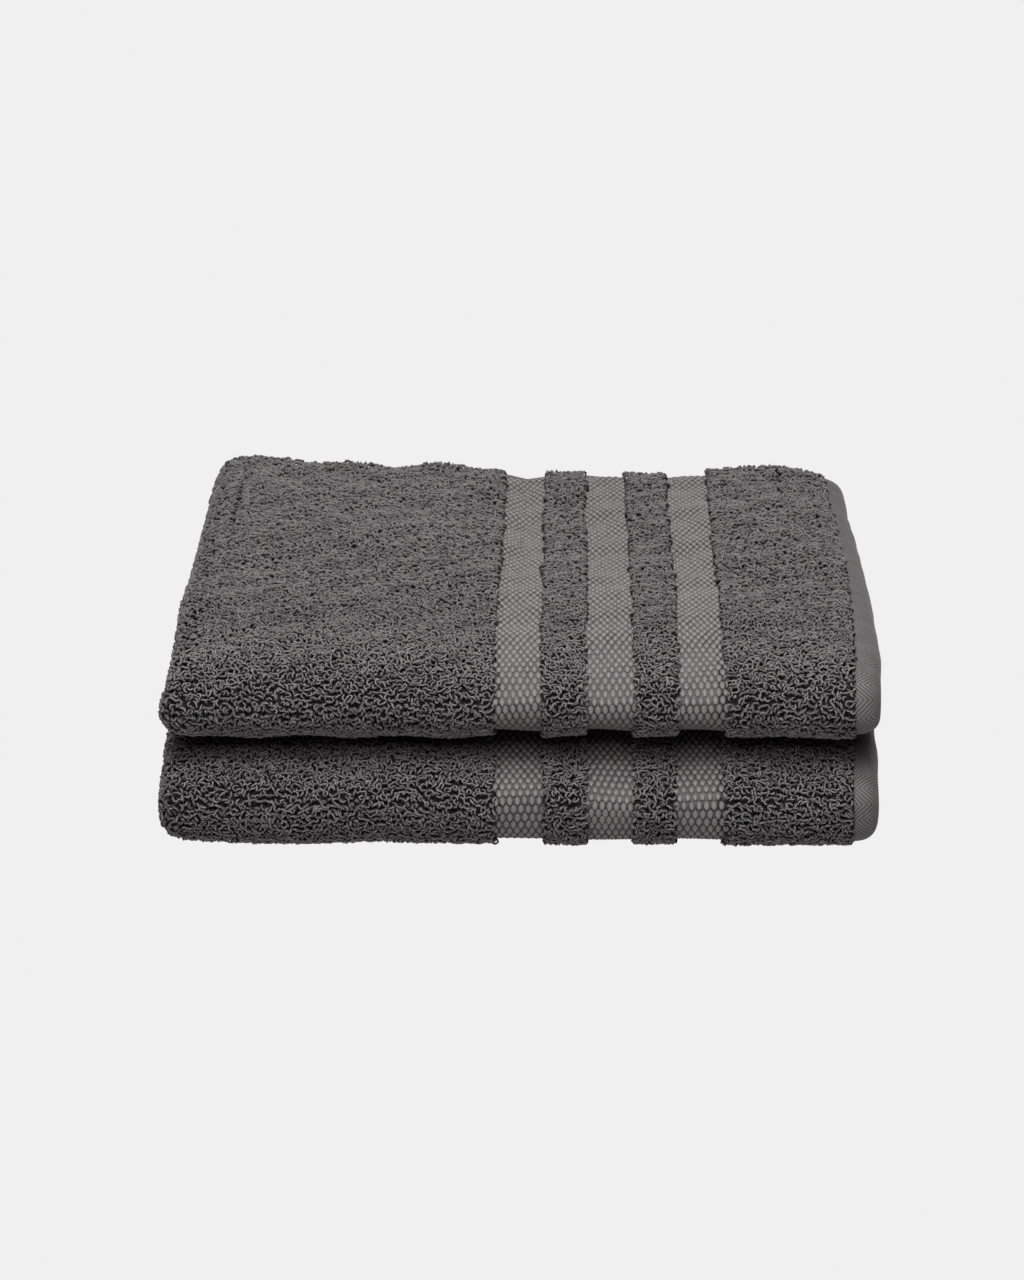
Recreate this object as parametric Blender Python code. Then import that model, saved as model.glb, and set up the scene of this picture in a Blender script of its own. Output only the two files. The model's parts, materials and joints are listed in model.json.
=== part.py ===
"""Bath towel set: two folded terry towels, one stacked on the other.

Each towel is one long cloth, 1.40 m by 0.70 m. It is folded in half twice along its length, with
both hemmed ends at the right, and the four layers are then folded in half across the width, over
a nose at the front. The bands and the end hem of the outer end are on the outside.

Frame: metres, +Z up, +X to the hemmed ends, -Y to the folded front. The origin is the middle of
the stack's underside.
"""

import math

import bpy
import bmesh

# ---- driving dimensions, in metres -------------------------------------------------------------

cloth_length = 1.400            # whole cloth, end hem to end hem
cloth_width = 0.700             # whole cloth, side hem to side hem
nose_take_up = 0.005            # depth that the turn round the nose takes from half the width
layer_thickness = 0.0065        # one layer of terry with its pile on both faces
layers_in_bundle = 4            # quarter fold along the length
cloth_gap = 0.0003              # clearance between two faces of cloth
stack_gap = 0.0004              # clearance between the two towels

lower_nose_height = 0.0250      # foremost point of the lower towel above its underside
lower_top_taper = 0.110         # length over which the lower towel thins to its nose
lower_under_taper = 0.022       # the same along its underside
upper_nose_height = 0.0175      # the upper towel sags lower over the edge
upper_top_taper = 0.115
upper_under_taper = 0.030
fold_point_depth = 0.025        # innermost crease of the cross fold behind the nose

dobby_band_width = 0.0235
terry_stripe_width = 0.0210
terry_border_width = 0.0620
band_margin = 0.0120            # from the terry border to the outermost reach of the hem
dobby_thickness = 0.0026        # flat woven band without pile
pile_edge_chamfer = 0.0015      # softened edge where pile meets a flat band

end_hem_width = 0.0250          # finished width of the end hem, measured along its curve
end_hem_thickness = 0.0022
end_hem_top_drop = 0.0010       # outer face of the hem below the top of the pile
inner_hem_inset = 0.0027        # reach of the inner end's hem behind the outer one
inner_hem_width = 0.0180        # what shows of the inner end's hem beyond its stitching
middle_fold_inset = 0.0060      # reach of the middle fold behind the outer hem
side_hem_width = 0.0120
side_hem_thickness = 0.0024
stitch_width = 0.0009           # one row of lockstitch
stitch_proud = 0.0003           # thread standing over each face of a hem

nose_steps = 10                 # faces round the nose
taper_steps = 4                 # faces along the tapering top
fold_steps = 6                  # faces round each fold at the left and right
hem_steps = 4                   # faces round the turned-down end hem

# ---- sizes that follow from them ---------------------------------------------------------------

folded_length = cloth_length / 4
folded_depth = cloth_width / 2 - nose_take_up
half_length = folded_length / 2
bundle_thickness = layer_thickness * layers_in_bundle
towel_thickness = bundle_thickness * 2
front_y = -folded_depth / 2
back_y = folded_depth / 2
half_gap = cloth_gap / 2
border_end_x = half_length - band_margin
left_fold_x = -half_length + (bundle_thickness - cloth_gap) / 2
terry_end_y = back_y - side_hem_width - stitch_width - 2 * cloth_gap
stitch_front_y = terry_end_y + cloth_gap
stitch_back_y = stitch_front_y + stitch_width
side_hem_front_y = stitch_back_y + cloth_gap

terry_colour = (0.115, 0.103, 0.107, 1.0)
dobby_colour = (0.190, 0.173, 0.178, 1.0)
hem_colour = (0.150, 0.135, 0.140, 1.0)
thread_colour = (0.165, 0.150, 0.155, 1.0)

towels = [
    {
        "name": "lower",
        "base": 0.0,
        "nose_height": lower_nose_height,
        "top_taper": lower_top_taper,
        "under_taper": lower_under_taper,
    },
    {
        "name": "upper",
        "base": towel_thickness + stack_gap,
        "nose_height": upper_nose_height,
        "top_taper": upper_top_taper,
        "under_taper": upper_under_taper,
    },
]


def layer_span(index):
    """Lowest and highest height of one layer above the bundle's inner face; 0 is innermost."""
    return index * layer_thickness + cloth_gap, (index + 1) * layer_thickness


# ---- the cross fold: stations from the back edge, round the nose, to the back edge again -------

def quarter_height(distance, reach, rise):
    """Height of a quarter ellipse above its axis, at a distance behind its tip."""
    if distance >= reach:
        return rise
    return rise * math.sqrt(1 - ((reach - distance) / reach) ** 2)


def outline_top(towel, distance):
    """Height of the upper face above the underside, at a distance behind the nose."""
    nose = towel["nose_height"]
    return nose + quarter_height(distance, towel["top_taper"], towel_thickness - nose)


def outline_under(towel, distance):
    """Height of the lower face above the underside, at a distance behind the nose."""
    nose = towel["nose_height"]
    return nose - quarter_height(distance, towel["under_taper"], nose)


def fold_station(towel, centre_distance, outline_distance, outline_height):
    """A point on the cross fold's inner face, and the way from there to the outer face."""
    centre_height = 0.5 * (outline_top(towel, centre_distance) + outline_under(towel, centre_distance))
    centre = (front_y + centre_distance, towel["base"] + centre_height)
    outward = (outline_distance - centre_distance, outline_height - centre_height)
    return centre, outward


def run_stations(towel, start_y, top_side):
    """Stations from start_y forward to the fold point, on the upper or the lower half."""
    taper = towel["top_taper"]
    distances = [start_y - front_y]
    for step in range(taper_steps):
        share = 1 - step / taper_steps
        distances.append(fold_point_depth + (taper - fold_point_depth) * share ** 1.5)
    outline = outline_top if top_side else outline_under
    return [fold_station(towel, d, d, outline(towel, d)) for d in distances if d <= distances[0]]


def nose_stations(towel):
    """Stations that turn round the fold point, from the upper face to the lower one."""
    stations = []
    for side, taper in ((1, towel["top_taper"]), (-1, towel["under_taper"])):
        reach = min(taper, fold_point_depth)
        widest = math.acos((taper - reach) / taper)
        for step in range(nose_steps // 2 + 1):
            share = step / (nose_steps // 2)
            angle = widest * ((1 - share) if side > 0 else share)
            distance = taper - taper * math.cos(angle)
            height = outline_top(towel, distance) if side > 0 else outline_under(towel, distance)
            if side < 0 and step == 0:
                continue
            stations.append(fold_station(towel, fold_point_depth, distance, height))
    if towel["under_taper"] < fold_point_depth:
        stations.append(
            fold_station(towel, fold_point_depth, fold_point_depth, outline_under(towel, fold_point_depth))
        )
    return stations


def cross_fold(towel, start_y):
    """Every station of a layer whose two back edges lie at start_y."""
    upper_run = run_stations(towel, start_y, True)
    lower_run = run_stations(towel, start_y, False)
    return upper_run + nose_stations(towel) + lower_run[::-1]


def short_run(towel, from_y, to_y, top_side):
    """Two stations across a strip that lies along the back edge."""
    outline = outline_top if top_side else outline_under
    stations = []
    for y in (from_y, to_y):
        distance = y - front_y
        stations.append(fold_station(towel, distance, distance, outline(towel, distance)))
    return stations


# ---- sections: closed outlines in (x, height above the bundle's inner face) --------------------

def arc_points(centre_x, centre_h, reach_x, reach_h, start, end, steps):
    """Points on an ellipse from one angle to another, in degrees, both ends included."""
    points = []
    for step in range(steps + 1):
        angle = math.radians(start + (end - start) * step / steps)
        points.append((centre_x + reach_x * math.cos(angle), centre_h + reach_h * math.sin(angle)))
    return points


def flat_section(start_x, end_x, low, high):
    """A plain strip of one layer."""
    return [(start_x, low), (end_x, low), (end_x, high), (start_x, high)]


def pile_section(start_x, end_x, low, high):
    """A strip of terry whose outer edges are softened."""
    c = pile_edge_chamfer
    return [
        (start_x, low), (end_x, low), (end_x, high - c), (end_x - c, high),
        (start_x + c, high), (start_x, high - c),
    ]


def outer_field_section(end_x):
    """The outer end's terry field, with the fold that turns it under at the left."""
    low, high = layer_span(3)
    centre = (high + cloth_gap) / 2
    outer = high - centre
    inner = low - centre
    section = [(end_x, high - pile_edge_chamfer), (end_x - pile_edge_chamfer, high)]
    section += arc_points(left_fold_x, centre, outer, outer, 90, 270, fold_steps)
    section += arc_points(left_fold_x, centre, inner, inner, 270, 90, fold_steps)
    section.append((end_x, low))
    return section


def inner_field_section(end_x):
    """The inner end's terry field, with the tight fold inside the outer one."""
    low, high = layer_span(2)
    under, _ = layer_span(1)
    centre = (high + under) / 2
    reach = high - centre
    section = [(end_x, high)]
    section += arc_points(left_fold_x, centre, reach, reach, 90, 270, fold_steps)
    section += [(left_fold_x, low), (end_x, low)]
    return section


def middle_section():
    """The two middle layers, joined by the fold behind the hems at the right."""
    low_under, low_top = layer_span(0)
    high_under, high_top = layer_span(1)
    start_x = left_fold_x + cloth_gap
    centre = (low_under + high_top) / 2
    reach = high_top - centre
    fold_x = half_length - middle_fold_inset - reach
    section = [(start_x, low_under)]
    section += arc_points(fold_x, centre, reach, reach, -90, 90, fold_steps)
    section += [(start_x, high_top), (start_x, high_under), (fold_x, high_under), (fold_x, low_top)]
    section.append((start_x, low_top))
    return section


def hem_section(start_x, reach_x, top, drop, width, thickness):
    """An end hem that lies flat and then turns down over the ends of the layers."""
    flat_end = start_x + cloth_gap
    turn = reach_x - flat_end
    centre_h = top - drop
    arc_length = math.pi * math.sqrt((turn ** 2 + drop ** 2) / 2) / 2
    tail = max(width - arc_length, thickness)
    outer = arc_points(flat_end, centre_h, turn, drop, 90, 0, hem_steps)
    inner = arc_points(flat_end, centre_h, turn - thickness, drop - thickness, 0, 90, hem_steps)
    section = [(start_x, top)] + outer
    section += [(reach_x, centre_h - tail), (reach_x - thickness, centre_h - tail)]
    section += inner + [(start_x, top - thickness)]
    return section


def serpentine_section(end_x, thickness):
    """A thin strip that follows all four layers and the three folds that join them."""
    centre_h = bundle_thickness / 2
    heights = [layer_thickness * (index + 0.5) for index in range(layers_in_bundle)]
    middle_x = half_length - middle_fold_inset - layer_thickness
    half = thickness / 2

    def trail(offset):
        points = [(end_x, heights[3] + offset)]
        reach = centre_h - heights[0] + offset
        points += arc_points(left_fold_x, centre_h, reach, reach, 90, 270, fold_steps)
        reach = layer_thickness / 2 + offset
        points += arc_points(middle_x, layer_thickness, reach, reach, -90, 90, fold_steps)
        reach = layer_thickness / 2 - offset
        points += arc_points(left_fold_x, centre_h, reach, reach, 270, 90, fold_steps)
        points.append((end_x, heights[2] - offset))
        return points

    return trail(half) + trail(-half)[::-1]


# ---- building solids ---------------------------------------------------------------------------

def make_material(name, colour, roughness):
    material = bpy.data.materials.new(name)
    material.use_nodes = True
    shader = material.node_tree.nodes["Principled BSDF"]
    shader.inputs["Base Color"].default_value = colour
    shader.inputs["Roughness"].default_value = roughness
    shader.inputs["Metallic"].default_value = 0.0
    return material


def signed_area(section):
    total = 0.0
    for index, (x, h) in enumerate(section):
        next_x, next_h = section[(index + 1) % len(section)]
        total += x * next_h - next_x * h
    return total / 2


def sweep(name, section, stations, colour, roughness):
    """Carry a section along the cross fold and close its two ends."""
    if signed_area(section) < 0:
        section = section[::-1]
    mesh = bpy.data.meshes.new(name)
    shape = bmesh.new()
    rings = []
    for centre, outward in stations:
        ring = []
        for x, h in section:
            share = h / bundle_thickness
            y = centre[0] + outward[0] * share
            z = centre[1] + outward[1] * share
            ring.append(shape.verts.new((x, y, z)))
        rings.append(ring)
    count = len(section)
    for ring, following in zip(rings, rings[1:]):
        for index in range(count):
            other = (index + 1) % count
            corners = (ring[index], ring[other], following[other], following[index])
            if section[index] <= section[other]:
                shape.faces.new((corners[0], corners[1], corners[2]))
                shape.faces.new((corners[0], corners[2], corners[3]))
            else:
                shape.faces.new((corners[0], corners[1], corners[3]))
                shape.faces.new((corners[1], corners[2], corners[3]))
    shape.faces.new(rings[0][::-1])
    shape.faces.new(rings[-1])
    bmesh.ops.recalc_face_normals(shape, faces=shape.faces)
    bmesh.ops.triangulate(shape, faces=shape.faces)
    shape.to_mesh(mesh)
    shape.free()
    mesh.materials.append(make_material(name, colour, roughness))
    mesh.shade_smooth()
    mesh.set_sharp_from_angle(angle=math.radians(40))
    made = bpy.data.objects.new(name, mesh)
    bpy.context.scene.collection.objects.link(made)
    return made


def border_zones():
    """The woven zones beyond the terry field, from the field outwards."""
    kinds = [("dobby_band", dobby_band_width), ("terry_stripe", terry_stripe_width)] * 2
    kinds += [("dobby_band", dobby_band_width), ("terry_border", terry_border_width)]
    start = border_end_x - sum(width for _, width in kinds)
    zones = []
    counts = {}
    for kind, width in kinds:
        counts[kind] = counts.get(kind, 0) + 1
        label = kind if kind == "terry_border" else f"{kind}_{counts[kind]}"
        zones.append((label, start, start + width))
        start += width
    return zones


def build_end(towel, end_name, layer, stations):
    """One end of the cloth: its terry field, its bands, its hem and the hem's stitching."""
    low, high = layer_span(layer)
    outer_end = end_name == "outer_end"
    prefix = f"{towel['name']}_{end_name}"
    made = []
    zones = border_zones()
    field_end = zones[0][1] - half_gap
    field = outer_field_section(field_end) if outer_end else inner_field_section(field_end)
    made.append(sweep(f"{prefix}_terry_field", field, stations, terry_colour, 0.95))
    for label, start_x, end_x in zones:
        start_x += half_gap
        end_x -= half_gap
        if label.startswith("dobby"):
            section = flat_section(start_x, end_x, low, low + dobby_thickness)
            made.append(sweep(f"{prefix}_{label}", section, stations, dobby_colour, 0.6))
        else:
            section = (pile_section if outer_end else flat_section)(start_x, end_x, low, high)
            made.append(sweep(f"{prefix}_{label}", section, stations, terry_colour, 0.95))
    stitch_x = border_end_x + half_gap
    hem_x = stitch_x + stitch_width + cloth_gap
    hem_top = high - end_hem_top_drop
    reach_x = half_length if outer_end else half_length - inner_hem_inset
    drop = bundle_thickness / 2 if outer_end else layer_thickness + half_gap
    width = end_hem_width if outer_end else inner_hem_width
    hem = hem_section(hem_x, reach_x, hem_top, drop, width - stitch_width, end_hem_thickness)
    made.append(sweep(f"{prefix}_hem", hem, stations, hem_colour, 0.8))
    thread = flat_section(
        stitch_x, stitch_x + stitch_width, hem_top - end_hem_thickness - stitch_proud, hem_top + stitch_proud
    )
    made.append(sweep(f"{prefix}_hem_stitching", thread, stations, thread_colour, 0.7))
    return made


def build_side(towel, side_name, top_side):
    """The hem along one long side of the cloth, and its row of stitching."""
    prefix = f"{towel['name']}_{side_name}_side_hem"
    hem_run = short_run(towel, back_y, side_hem_front_y, top_side)
    stitch_run = short_run(towel, stitch_back_y, stitch_front_y, top_side)
    if not top_side:
        hem_run.reverse()
        stitch_run.reverse()
    hem = serpentine_section(border_end_x, side_hem_thickness)
    thread = serpentine_section(border_end_x, side_hem_thickness + 2 * stitch_proud)
    return [
        sweep(prefix, hem, hem_run, hem_colour, 0.8),
        sweep(f"{prefix}_stitching", thread, stitch_run, thread_colour, 0.7),
    ]


def build_towel(towel):
    """A whole folded towel, under one empty at its rest position."""
    stations = cross_fold(towel, terry_end_y)
    made = build_end(towel, "outer_end", 3, stations)
    made += build_end(towel, "inner_end", 2, stations)
    made.append(sweep(f"{towel['name']}_middle_layers", middle_section(), stations, terry_colour, 0.95))
    made += build_side(towel, "top", True)
    made += build_side(towel, "bottom", False)
    holder = bpy.data.objects.new(f"{towel['name']}_towel", None)
    holder.location = (0.0, 0.0, towel["base"])
    bpy.context.scene.collection.objects.link(holder)
    bpy.context.view_layer.update()
    for piece in made:
        piece.parent = holder
        piece.matrix_parent_inverse = holder.matrix_world.inverted()


for old in list(bpy.data.objects):
    bpy.data.objects.remove(old, do_unlink=True)

for towel in towels:
    build_towel(towel)
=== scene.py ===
import json
import math
import bpy
import bmesh
import numpy as np
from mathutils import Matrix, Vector


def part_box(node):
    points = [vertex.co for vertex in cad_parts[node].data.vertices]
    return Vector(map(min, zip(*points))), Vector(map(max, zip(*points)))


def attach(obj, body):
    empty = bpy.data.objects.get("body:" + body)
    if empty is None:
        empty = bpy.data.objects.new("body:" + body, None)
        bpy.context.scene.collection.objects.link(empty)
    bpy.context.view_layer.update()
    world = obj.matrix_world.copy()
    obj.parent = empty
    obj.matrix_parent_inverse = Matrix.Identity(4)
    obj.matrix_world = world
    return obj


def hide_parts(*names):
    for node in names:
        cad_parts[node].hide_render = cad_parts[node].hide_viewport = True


# Two folded terry bath towels, one lying on the other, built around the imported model.
# Each towel is one cloth: folded in four along its length, then in half over a nose at the front.
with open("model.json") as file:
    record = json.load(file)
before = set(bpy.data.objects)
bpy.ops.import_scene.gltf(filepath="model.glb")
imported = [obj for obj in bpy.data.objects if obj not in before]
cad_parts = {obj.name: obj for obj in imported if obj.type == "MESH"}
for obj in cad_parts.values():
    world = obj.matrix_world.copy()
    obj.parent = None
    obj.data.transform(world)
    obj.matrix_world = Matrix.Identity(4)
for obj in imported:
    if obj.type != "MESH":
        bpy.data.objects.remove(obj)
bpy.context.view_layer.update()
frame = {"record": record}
print("frame loaded")


def towelBox(name):
    lows, highs = zip(*(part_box(n) for n in frame["record"]["behaviour"]["bodies"][name + "_towel"]))
    return [min(p[i] for p in lows) for i in range(3)], [max(p[i] for p in highs) for i in range(3)]


def zoneX(name):
    low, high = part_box("upper_outer_end_" + name)
    return low[0], high[0]


lowerLow, lowerHigh = towelBox("lower")
upperLow = towelBox("upper")[0]
frontY, backY = lowerLow[1], lowerHigh[1]
leftX, rightX = lowerLow[0], lowerHigh[0]
bundle = (lowerHigh[2] - lowerLow[2]) / 2   # four layers of cloth
layer = bundle / 4
leftFoldX = leftX + bundle / 2
hemStartX = zoneX("terry_border")[1] + 0.0015     # a little past the border's pile
zones = ("terry_field", "dobby_band_1", "terry_stripe_1", "dobby_band_2", "terry_stripe_2",
         "dobby_band_3", "terry_border")
dobbyBands = zones[1::2]

# How each towel turns over at the front; the heights are from its own underside
towels = {
    "lower": {"base": lowerLow[2], "nose": 0.0250, "topTaper": 0.110, "underTaper": 0.022, "seed": 11},
    "upper": {"base": upperLow[2], "nose": 0.0225, "topTaper": 0.110, "underTaper": 0.046, "seed": 23},
}
cloth = {
    "length": 1.400,          # end hem to end hem
    "width": 0.700,           # side hem to side hem
    "faceDepth": 0.0049,      # the outermost weave below the tips of its pile
    "thickness": 0.0020,      # ground weave without pile
    "foldPoint": 0.025,       # crease of the cross fold behind the nose
    "middleFoldInset": 0.0092,
    "innerHemInset": 0.0036,
    "outerHemInset": 0.0012,
    "innerHemDrop": 0.88,     # how far the ends bend down, in layers
    "outerHemDrop": 1.4,
    "hemTail": 0.0050,
    "endTrim": 0.0012,        # the sheet stops inside its hems
    "sideTrim": 0.0010,
    "flatStep": 0.0095,       # mesh lines on the flat
    "foldSteps": 7,
}


def arcLine(centreX, centreH, reachX, reachH, start, end, steps, full=1.0):
    angles = np.radians(np.linspace(start, end, steps + 1))
    cos, sin = (np.sign(a) * np.abs(a) ** full for a in (np.cos(angles), np.sin(angles)))
    return np.stack([centreX + reachX * cos, centreH + reachH * sin], 1)


# The way the cloth runs along its length, in (x, height in the bundle), from the inner end's hem
# to the outer end's. dense gives a fine table, else the lines that the cloth's mesh needs.
def lengthRun(dense):
    outerH = bundle - cloth["faceDepth"]
    outerFold = (outerH - layer / 2) / 2
    middle = rightX - cloth["middleFoldInset"] - layer / 2
    innerReach = rightX - cloth["innerHemInset"] - hemStartX
    outerReach = rightX - cloth["outerHemInset"] - hemStartX
    steps = 40 if dense else cloth["foldSteps"]
    innerH = 2.5 * layer
    innerDrop = cloth["innerHemDrop"] * layer
    outerDrop = cloth["outerHemDrop"] * layer
    tail = cloth["hemTail"]
    parts = [
        [(hemStartX + innerReach, innerH - innerDrop - 0.4 * tail)],
        arcLine(hemStartX, innerH - innerDrop, innerReach, innerDrop, 0, 90, steps),
        arcLine(leftFoldX, 2 * layer, layer / 2, layer / 2, 90, 270, steps),
        arcLine(middle, layer, layer / 2, layer / 2, 90, -90, steps),
        arcLine(leftFoldX, outerFold + layer / 2, outerFold, outerFold, 270, 90, steps),
        arcLine(hemStartX, outerH - outerDrop, outerReach, outerDrop, 90, 0, steps, 0.78),
        [(hemStartX + outerReach, outerH - outerDrop - tail)],
    ]
    step = 0.02 if dense else cloth["flatStep"]
    points = []
    for part in parts:
        for point in part:
            point = np.array(point)
            if points:
                gap = np.linalg.norm(point - points[-1])
                pieces = max(1, int(round(gap / step)))
                start = points[-1]
                points += [start + (point - start) * i / pieces for i in range(1, pieces)]
            points.append(point)
    return np.array(points)


def alongLine(points):
    return np.concatenate([[0], np.cumsum(np.linalg.norm(np.diff(points, axis=0), axis=1))])


lengthPoints = lengthRun(True)
lengthAt = alongLine(lengthPoints)
lengthTotal = lengthAt[-1]
heading = np.gradient(lengthPoints, lengthAt, axis=0)
heading /= np.linalg.norm(heading, axis=1)[:, None]
lengthNormal = np.stack([-heading[:, 1], heading[:, 0]], 1)
inOuterHem = (lengthPoints[:, 0] >= hemStartX - 1e-6) & (lengthAt > lengthTotal / 2)
outerHemAt = float(lengthAt[inOuterHem].min())
innerHemAt = lengthAt[np.argmax(lengthPoints[:, 0] < hemStartX)]
print(f"the cloth runs {lengthTotal:.3f} m from hem to hem")


# Distance along the cloth of a place on its outermost run
def outerAt(x):
    return outerHemAt - (hemStartX - x)


def topHeight(towel, distance):
    taper, nose = towel["topTaper"], towel["nose"]
    inside = np.clip((taper - distance) / taper, 0, 1)
    return nose + (2 * bundle - nose) * np.sqrt(1 - inside ** 2)


def underHeight(towel, distance):
    taper, nose = towel["underTaper"], towel["nose"]
    inside = np.clip((taper - distance) / taper, 0, 1)
    return nose - nose * np.sqrt(1 - inside ** 2)


# The way the cloth runs across its width: over the top, round the nose and back underneath.
# At each step it holds a point on the inner face and the way from there to the outer face.
def crossRun(towel):
    point = cloth["foldPoint"]
    far = backY - frontY
    run = np.linspace(far, point, 160)
    curve = np.linspace(0, 1, 90)[1:]
    topAngles = math.acos((towel["topTaper"] - point) / towel["topTaper"]) * (1 - curve)
    overNose = towel["topTaper"] * (1 - np.cos(topAngles))
    underReach = min(point, towel["underTaper"])
    underAngles = math.acos((towel["underTaper"] - underReach) / towel["underTaper"]) * curve
    underNose = towel["underTaper"] * (1 - np.cos(underAngles))
    centre = np.concatenate([run, np.full(len(overNose) + len(underNose), point), run[::-1]])
    outline = np.concatenate([run, overNose, underNose, run[::-1]])
    isTop = np.arange(len(outline)) < len(run) + len(overNose)
    height = np.where(isTop, topHeight(towel, outline), underHeight(towel, outline))
    middle = 0.5 * (topHeight(towel, centre) + underHeight(towel, centre))
    table = np.stack([frontY + centre, towel["base"] + middle, outline - centre, height - middle], 1)
    keep = np.concatenate([[True], np.abs(np.diff(table, axis=0)).sum(1) > 1e-9])
    table = table[keep]
    at = alongLine(table[:, :2] + 0.8 * table[:, 2:])
    return at * cloth["width"] / at[-1], table


for towel in towels.values():
    towel["crossAt"], towel["cross"] = crossRun(towel)
    noseStep = np.argmin(towel["cross"][:, 0] + towel["cross"][:, 2])
    towel["noseAt"] = float(towel["crossAt"][noseStep])

# Soft unevenness of cotton cloth that has been folded by hand
unevenness = {
    "reach": np.array([0.00035, 0.0005, 0.0007]),      # in x, y and z, for the longest wave
    "waves": [0.150, 0.090, 0.055, 0.034, 0.026],
    "backRag": 0.0020,          # how far the layers' edges wander at the back
    "backRagWaves": ((0.16, 0.021), (0.07, 0.013), (0.045, 0.017)),    # along x and up
    "backZone": 0.045,
    "hemsTrue": 0.85,           # how much less they wander where the hems are stacked
    "backDroop": 0.0028,        # the bare side hems hang below the pile beside them
    "droopZone": 0.017,
    # how much higher or lower than flat the top lies, from the left end to the right
    "topAt": [-0.175, -0.155, -0.137, -0.100, -0.060, -0.040, -0.020, 0.000, 0.014, 0.030, 0.060, 0.090,
              0.115, 0.138, 0.154, 0.175],
    "topRise": [0.0040, 0.0090, 0.0072, 0.0060, 0.0046, 0.0034, 0.0012, -0.0046, -0.0030, -0.0010, -0.0006,
                0.0012, 0.0030, 0.0040, 0.0008, -0.0075],
    "rightBulge": 0.0026,       # the stacked hems push out behind the nose
    "leftShift": {"upper": 0.0034, "lower": -0.0020},
    "noseBulge": -0.0040,       # the fold at the upper towel's lower left corner pushes out
    "notch": 0.0045,            # and the lower towel draws back under it
    "cornerLift": 0.0012,       # the lower towel's lower left corner is rounded off
}


def ease(amount):
    amount = np.clip(amount, 0, 1)
    return amount * amount * (3 - 2 * amount)


# Moves points of a towel's ideal shape to where the uneven cloth lies
def soften(towel, points):
    rng = np.random.default_rng(towel["seed"])
    shift = np.zeros_like(points)
    for wave in unevenness["waves"]:
        for axis in range(3):
            way = rng.normal(size=3)
            way *= 2 * math.pi / wave / np.linalg.norm(way)
            size = unevenness["reach"][axis] * (wave / unevenness["waves"][0]) ** 0.45
            shift[:, axis] += size * np.sin(points @ way + rng.uniform(0, 6.28))
    level = np.clip((points[:, 2] - towel["base"]) / (2 * bundle), 0, 1)
    back = np.clip((points[:, 1] - (backY - unevenness["backZone"])) / unevenness["backZone"], 0, 1) ** 2
    back *= 1 - unevenness["hemsTrue"] * ease((points[:, 0] - rightX + 0.045) / 0.030)
    calm = 1 - 0.75 * level ** 8
    for wave, rise in unevenness["backRagWaves"]:
        phase = points[:, 0] * 2 * math.pi / wave + points[:, 2] * 2 * math.pi / rise
        shift[:, 1] += unevenness["backRag"] * back * np.sin(phase + rng.uniform(0, 6.28))
        phase = points[:, 0] * 2 * math.pi / (wave * 0.8) + points[:, 2] * 2 * math.pi / (rise * 2.3)
        shift[:, 2] += 0.45 * unevenness["backRag"] * back * calm * np.sin(phase + rng.uniform(0, 6.28))
    droopZone = unevenness["droopZone"]
    shift[:, 2] -= unevenness["backDroop"] * ease((points[:, 1] - (backY - droopZone)) / droopZone)
    behind = points[:, 1] - frontY      # metres behind the nose
    bulge = ease(behind / 0.06) * (1 - 0.7 * ease((behind - 0.13) / 0.20))
    shift[:, 0] += unevenness["rightBulge"] * bulge * ease((points[:, 0] - rightX + 0.08) / 0.07)
    name = "upper" if towel is towels["upper"] else "lower"
    shift[:, 0] += unevenness["leftShift"][name] * ease((leftX + 0.05 - points[:, 0]) / 0.045)
    left = ease((leftX + 0.06 - points[:, 0]) / 0.055)
    low = 1 - ease(level / 0.45)
    front = 1 - ease(behind / 0.07)
    if name == "upper":
        midNose = ease(level / 0.3) * (1 - ease((level - 0.35) / 0.3))
        shift[:, 0] += unevenness["noseBulge"] * left * midNose * front
        rise = np.interp(points[:, 0], unevenness["topAt"], unevenness["topRise"])
        shift[:, 2] += level ** 2 * rise * ease((behind - 0.02) / 0.20)
    else:
        shift[:, 2] *= np.minimum(1, 0.25 + level * 3)
        shift[:, 2] += unevenness["cornerLift"] * left ** 3 * low
        shift[:, 0] += unevenness["notch"] * left * ease((level - 0.70) / 0.25) * front
    return points + shift


# Places on a towel: u along the cloth, v across it and lift out from its middle, in metres
def onTowel(towel, u, v, lift):
    u, v, lift = np.broadcast_arrays(np.asarray(u, float), np.asarray(v, float), np.asarray(lift, float))
    x = np.interp(u, lengthAt, lengthPoints[:, 0]) + np.interp(u, lengthAt, lengthNormal[:, 0]) * lift
    h = np.interp(u, lengthAt, lengthPoints[:, 1]) + np.interp(u, lengthAt, lengthNormal[:, 1]) * lift
    share = h / bundle
    centreY, centreZ, outY, outZ = (np.interp(v, towel["crossAt"], towel["cross"][:, i]) for i in range(4))
    points = np.stack([x, centreY + outY * share, centreZ + outZ * share], -1)
    shape = points.shape
    return soften(towel, points.reshape(-1, 3)).reshape(shape)


# Where on the cloth things stand, and the two ways along it and the way out of it
def frameOnTowel(towel, u, v, lift):
    small = 0.0004
    root = onTowel(towel, u, v, lift)
    along = onTowel(towel, u + small, v, lift) - onTowel(towel, u - small, v, lift)
    across = onTowel(towel, u, v + small, lift) - onTowel(towel, u, v - small, lift)
    out = np.cross(along, across)
    out /= np.linalg.norm(out, axis=1)[:, None] + 1e-12
    lifted = onTowel(towel, u, v, lift + small) - root
    out *= np.sign(np.sum(out * lifted, 1))[:, None]
    along /= np.linalg.norm(along, axis=1)[:, None] + 1e-12
    across = np.cross(out, along)
    return root, along, across, out


def toLinear(code):
    values = [int(code[i:i + 2], 16) / 255 for i in (1, 3, 5)]
    return [c / 12.92 if c <= 0.04045 else ((c + 0.055) / 1.055) ** 2.4 for c in values] + [1.0]


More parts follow.
